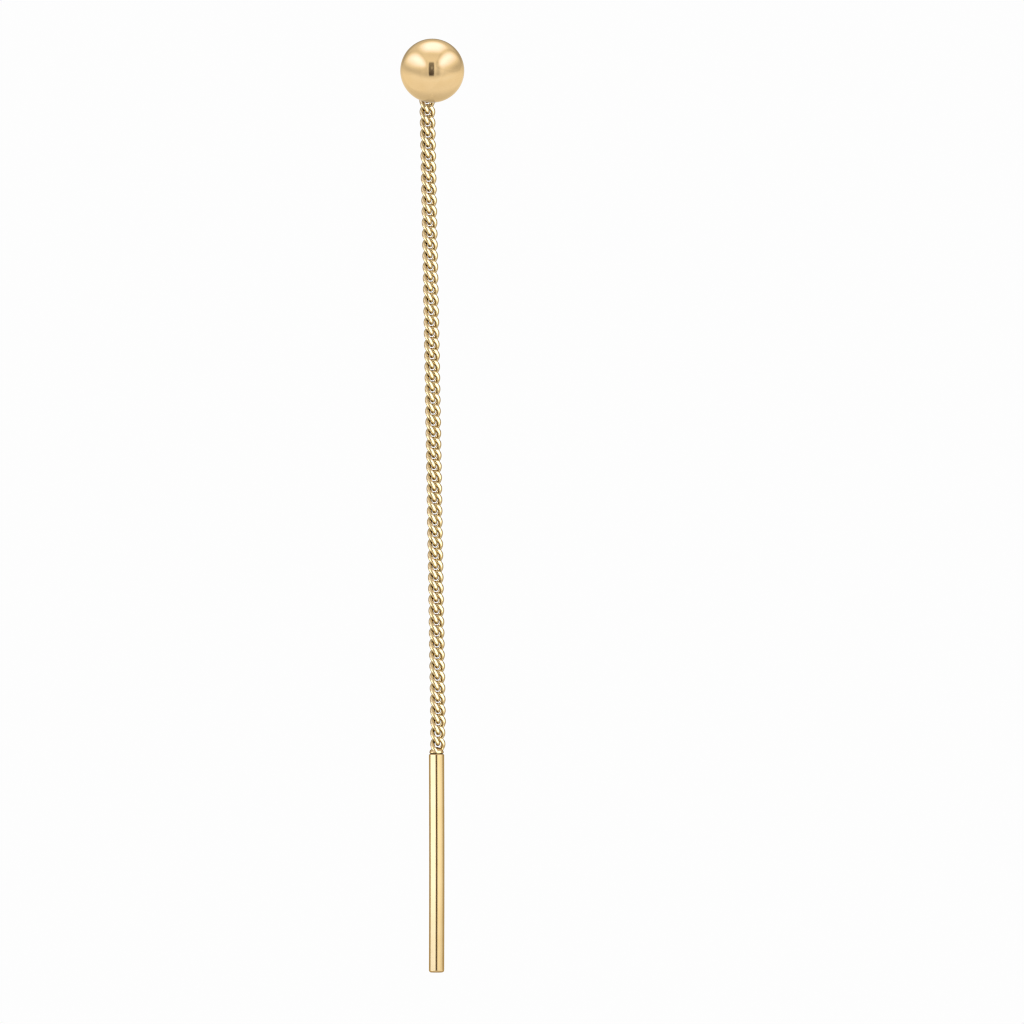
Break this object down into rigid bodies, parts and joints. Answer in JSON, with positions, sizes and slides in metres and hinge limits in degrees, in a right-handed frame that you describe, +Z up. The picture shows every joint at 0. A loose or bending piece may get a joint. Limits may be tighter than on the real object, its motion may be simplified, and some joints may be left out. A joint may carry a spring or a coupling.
{
  "type": "pull-through chain earring",
  "caption": "Pull-through earring: a polished ball, a fine curb chain hanging from a loop behind it, and a round bar that is threaded through the pierced ear.",
  "frame": {"origin": "point on the back of the ball where the wire loop is soldered and where the ear lobe's piercing holds the earring", "axes": "+Z up along the hanging chain, -Y towards the front with the ball in front of the chain, +X to the right seen from the front"},
  "size_m": [0.004, 0.005, 0.0588],
  "materials": {
    "gold": "high-polish yellow gold"
  },
  "bodies": {
    "ball_and_chain": {"ball": "gold", "chain": "gold"},
    "hanging_bar": {"bar": "gold"}
  },
  "joints": [
    {"name": "bar_swing", "type": "hinge", "parent": "ball_and_chain", "child": "hanging_bar", "pos_m": [0.00072, 0.00041, -0.04232], "axis": [0, 1, 0], "range_deg": [-30, 30]}
  ]
}
